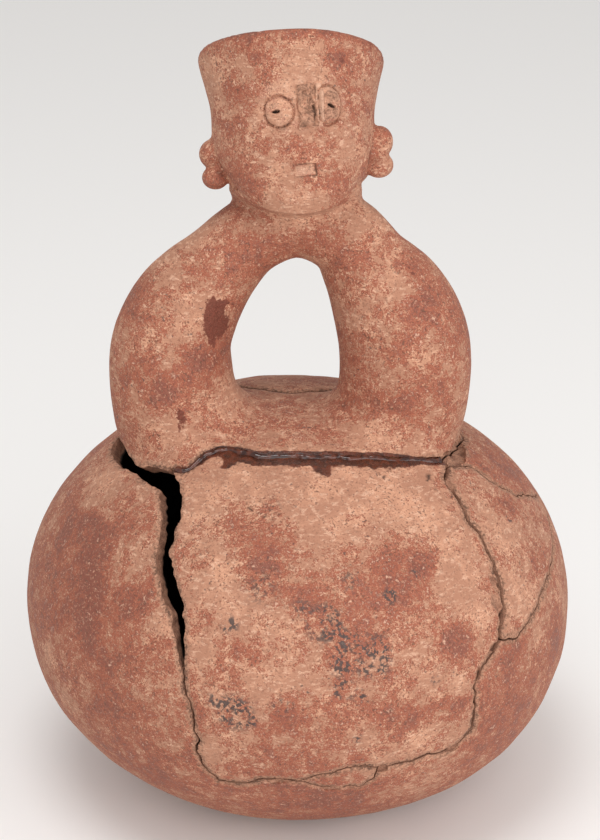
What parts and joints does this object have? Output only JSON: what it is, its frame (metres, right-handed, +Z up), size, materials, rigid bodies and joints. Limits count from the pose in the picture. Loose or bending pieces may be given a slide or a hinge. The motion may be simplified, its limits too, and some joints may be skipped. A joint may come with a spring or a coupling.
{
  "type": "stirrup spout vessel",
  "caption": "Round earthenware vessel with a stirrup handle of two hollow legs that carry a head-shaped flared spout, broken and mended.",
  "frame": {"origin": "middle of the worn flat on the underside, on the surface it stands on", "axes": "+Z up through the body, -Y the way the face on the spout looks, +X to the right seen from the front"},
  "size_m": [0.174, 0.174, 0.2493],
  "materials": {
    "red_slip": "worn matt red slip over buff earthenware, mottled",
    "worn_slip": "mostly worn slip, buff and pink earthenware showing, brown at the fracture faces",
    "mending_resin": "glossy dark red-brown glue"
  },
  "bodies": {
    "root": {"vessel_body": "red_slip", "stirrup_and_head_spout": "worn_slip", "front_wall_sherd": "worn_slip", "right_shoulder_sherd": "worn_slip", "lower_front_chip": "worn_slip", "resin_bead": "mending_resin"}
  },
  "joints": []
}
